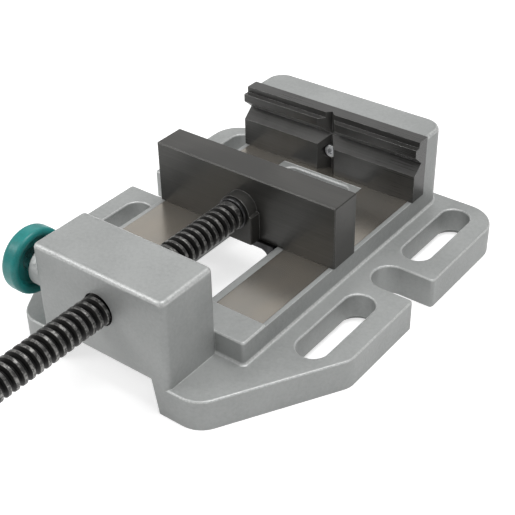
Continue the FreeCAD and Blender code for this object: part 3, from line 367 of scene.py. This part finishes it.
head = Finish("blackened_handle_head")
lathe = head.place.stretched(LATHE_LINES).noise(detail=2.0, roughness=0.5)
hand = head.place.noise(HAND_MARKS, roughness=0.6)
rim = head.edges(0.0005, 0.04, 0.25)
browning = (lathe * 0.4 + hand * 0.6).step(0.32, 0.68).tint(HEAD_DARK, HEAD_LIGHT)
head.set(
    Base_Color=(rim * 0.7).tint(browning, HEAD_EDGE),
    Metallic=0.9,
    Roughness=0.26 + lathe * 0.16,
    Normal=head.relief(lathe, 0.00002, 0.0004),
).onto("spindle_head", "thrust_washer")
zinc.onto("head_pin")

TURNED_DARK = (0.34, 0.34, 0.345)
TURNED = (0.56, 0.56, 0.565)
FEED_LINES = (900.0, 2400.0, 900.0)
HAZE = 90.0

turning = Finish("turned_bright_steel")
feed = turning.place.stretched(FEED_LINES).noise(detail=2.0, roughness=0.5)
haze = turning.place.noise(HAZE, roughness=0.6)
turning.set(
    Base_Color=(feed * 0.4 + haze * 0.6).step(0.32, 0.68).tint(TURNED_DARK, TURNED),
    Metallic=1.0,
    Roughness=0.18 + feed * 0.14 + haze * 0.08,
    Normal=turning.relief(feed, 0.000016, 0.0003),
).onto("tommy_bar")

CAP_BLACK = (0.018, 0.018, 0.019)
CAP_WORN = (0.045, 0.045, 0.047)
SPARK_GRAIN = 1900.0
TOUCH_MARKS = 120.0

cap = Finish("black_moulded_cap")
spark = cap.place.noise(SPARK_GRAIN, 2.0, 0.6)
touch = cap.place.noise(TOUCH_MARKS, roughness=0.6)
cap.set(
    Base_Color=(touch * 0.7 + spark * 0.3).step(0.36, 0.70).tint(CAP_BLACK, CAP_WORN),
    Metallic=0.0,
    Roughness=0.42 + spark * 0.14,
    Normal=cap.relief(spark, 0.00004, 0.0004),
).onto("bar_cap_upper", "bar_cap_lower")


# ---- Quick release --------------------------------------------------------------------
# A dished push button, injection moulded in teal plastic, with its thick rolled rim facing
# the block. A screw holds it to the turned stem of the half nut, which slides in a pocket
# of the block against a spring, over a screwed-on cover.

TEAL_DEEP = (0.008, 0.175, 0.168)
TEAL = (0.014, 0.275, 0.262)
TEAL_RUB = (0.045, 0.370, 0.355)
MOULD_GRAIN = 1500.0
THUMB_MARKS = 75.0
BUTTON_EDGE = 0.0009

teal = Finish("teal_moulded_plastic")
mould = teal.place.noise(MOULD_GRAIN, 2.0, 0.6)
thumb = teal.place.noise(THUMB_MARKS, roughness=0.6)
lip = teal.edges(BUTTON_EDGE, 0.03, 0.30)
plastic = (thumb * 0.7 + mould * 0.3).step(0.34, 0.68).tint(TEAL_DEEP, TEAL)
teal.set(
    Base_Color=(lip * 0.6).tint(plastic, TEAL_RUB),
    Metallic=0.0,
    Roughness=0.34 + mould * 0.12,
    Normal=teal.relief(mould, 0.00004, 0.0004),
    Coat_Weight=0.12,
).onto("release_button")
zinc.onto("button_screw")
turning.onto("release_stem", "release_spring")
oiled.onto("release_slide")
head.onto("slide_cover")
screw_black.onto("cover_screw_right", "cover_screw_left")


# ---- Studio ---------------------------------------------------------------------------
# The vise stands on a plain white floor in a pale room, lit by a soft light above it, a
# smaller one at the left front and a broad dim one behind. The camera looks down on its
# front right corner.

def area_light(name, place, target, width, depth, power):
    lamp = bpy.data.lights.new(name, "AREA")
    lamp.shape = "RECTANGLE"
    lamp.size = width
    lamp.size_y = depth
    lamp.energy = power
    holder = bpy.data.objects.new(name, lamp)
    holder.location = place
    holder.rotation_euler = (Vector(target) - Vector(place)).to_track_quat("-Z", "Y").to_euler()
    bpy.context.scene.collection.objects.link(holder)


area_light("key_softbox", place=(0.28, 0.02, 1.06), target=(0.0, 0.0, 0.03),
           width=0.60, depth=0.50, power=5.8)
area_light("left_softbox", place=(-0.56, -0.64, 0.72), target=(0.0, 0.0, 0.03),
           width=0.40, depth=0.36, power=2.6)
area_light("rear_softbox", place=(-0.60, 0.74, 0.68), target=(0.0, 0.0, 0.04),
           width=0.95, depth=0.75, power=1.3)

BLACK = (0.0, 0.0, 0.0)
WHITE = (1.0, 1.0, 1.0)
FLOOR_WHITE = (0.62, 0.62, 0.62)
FLOOR_GLOW = 0.68
FLOOR_REACH = 3.0

sheet = bmesh.new()
bmesh.ops.create_grid(sheet, x_segments=1, y_segments=1, size=FLOOR_REACH)
floor_mesh = bpy.data.meshes.new("floor")
sheet.to_mesh(floor_mesh)
sheet.free()
floor = bpy.data.objects.new("floor", floor_mesh)
bpy.context.scene.collection.objects.link(floor)

sweep = Finish("white_sweep")
rays = sweep.start.node("ShaderNodeLightPath", output="Is Camera Ray")
mirrored = sweep.start.node("ShaderNodeLightPath", output="Is Glossy Ray")
seen = sweep.start.maths("ADD", rays, mirrored, clamp=True)
sweep.set(
    Base_Color=FLOOR_WHITE,
    Roughness=0.9,
    Specular_IOR_Level=0.0,
    Emission_Color=(seen * FLOOR_GLOW).tint(BLACK, WHITE),
    Emission_Strength=1.0,
)
floor_mesh.materials.append(sweep.material)

ROOM_LOW = (0.24, 0.24, 0.24)
ROOM_HIGH = (0.48, 0.48, 0.48)

sky = bpy.data.worlds.new("white_room")
bpy.context.scene.world = sky
sky.use_nodes = True
room = Wire(sky.node_tree)
height = room.node("ShaderNodeTexCoord", output="Generated").axis("Z")
behind = room.node("ShaderNodeLightPath", output="Is Camera Ray")
wall = height.step(-0.2, 0.9).tint(ROOM_LOW, ROOM_HIGH)
backdrop = sky.node_tree.nodes["Background"]
sky.node_tree.links.new(behind.tint(wall, WHITE).socket, backdrop.inputs["Color"])
backdrop.inputs["Strength"].default_value = 1.0

CAMERA_PLACE = Vector((0.26144, -0.34930, 0.30694))
CAMERA_TURN = math.radians(37.803)
CAMERA_TILT = math.radians(35.222)
CAMERA_ROLL = math.radians(-1.167)
FOCAL_LENGTH = 76.90
SENSOR_WIDTH = 36.0
NEAREST = 0.01
FURTHEST = 20.0

back = Vector((math.sin(CAMERA_TURN) * math.cos(CAMERA_TILT),
               -math.cos(CAMERA_TURN) * math.cos(CAMERA_TILT),
               math.sin(CAMERA_TILT)))
right = Vector((0.0, 0.0, 1.0)).cross(back).normalized()
above = back.cross(right)
across = right * math.cos(CAMERA_ROLL) + above * math.sin(CAMERA_ROLL)
upward = above * math.cos(CAMERA_ROLL) - right * math.sin(CAMERA_ROLL)
turned = Matrix((across, upward, back)).transposed().to_4x4()
lens = bpy.data.cameras.new("camera")
lens.lens = FOCAL_LENGTH
lens.sensor_width = SENSOR_WIDTH
lens.clip_start = NEAREST
lens.clip_end = FURTHEST
camera = bpy.data.objects.new("camera", lens)
camera.matrix_world = Matrix.Translation(CAMERA_PLACE) @ turned
bpy.context.scene.collection.objects.link(camera)
bpy.context.scene.camera = camera
bpy.context.scene.view_settings.view_transform = "Standard"
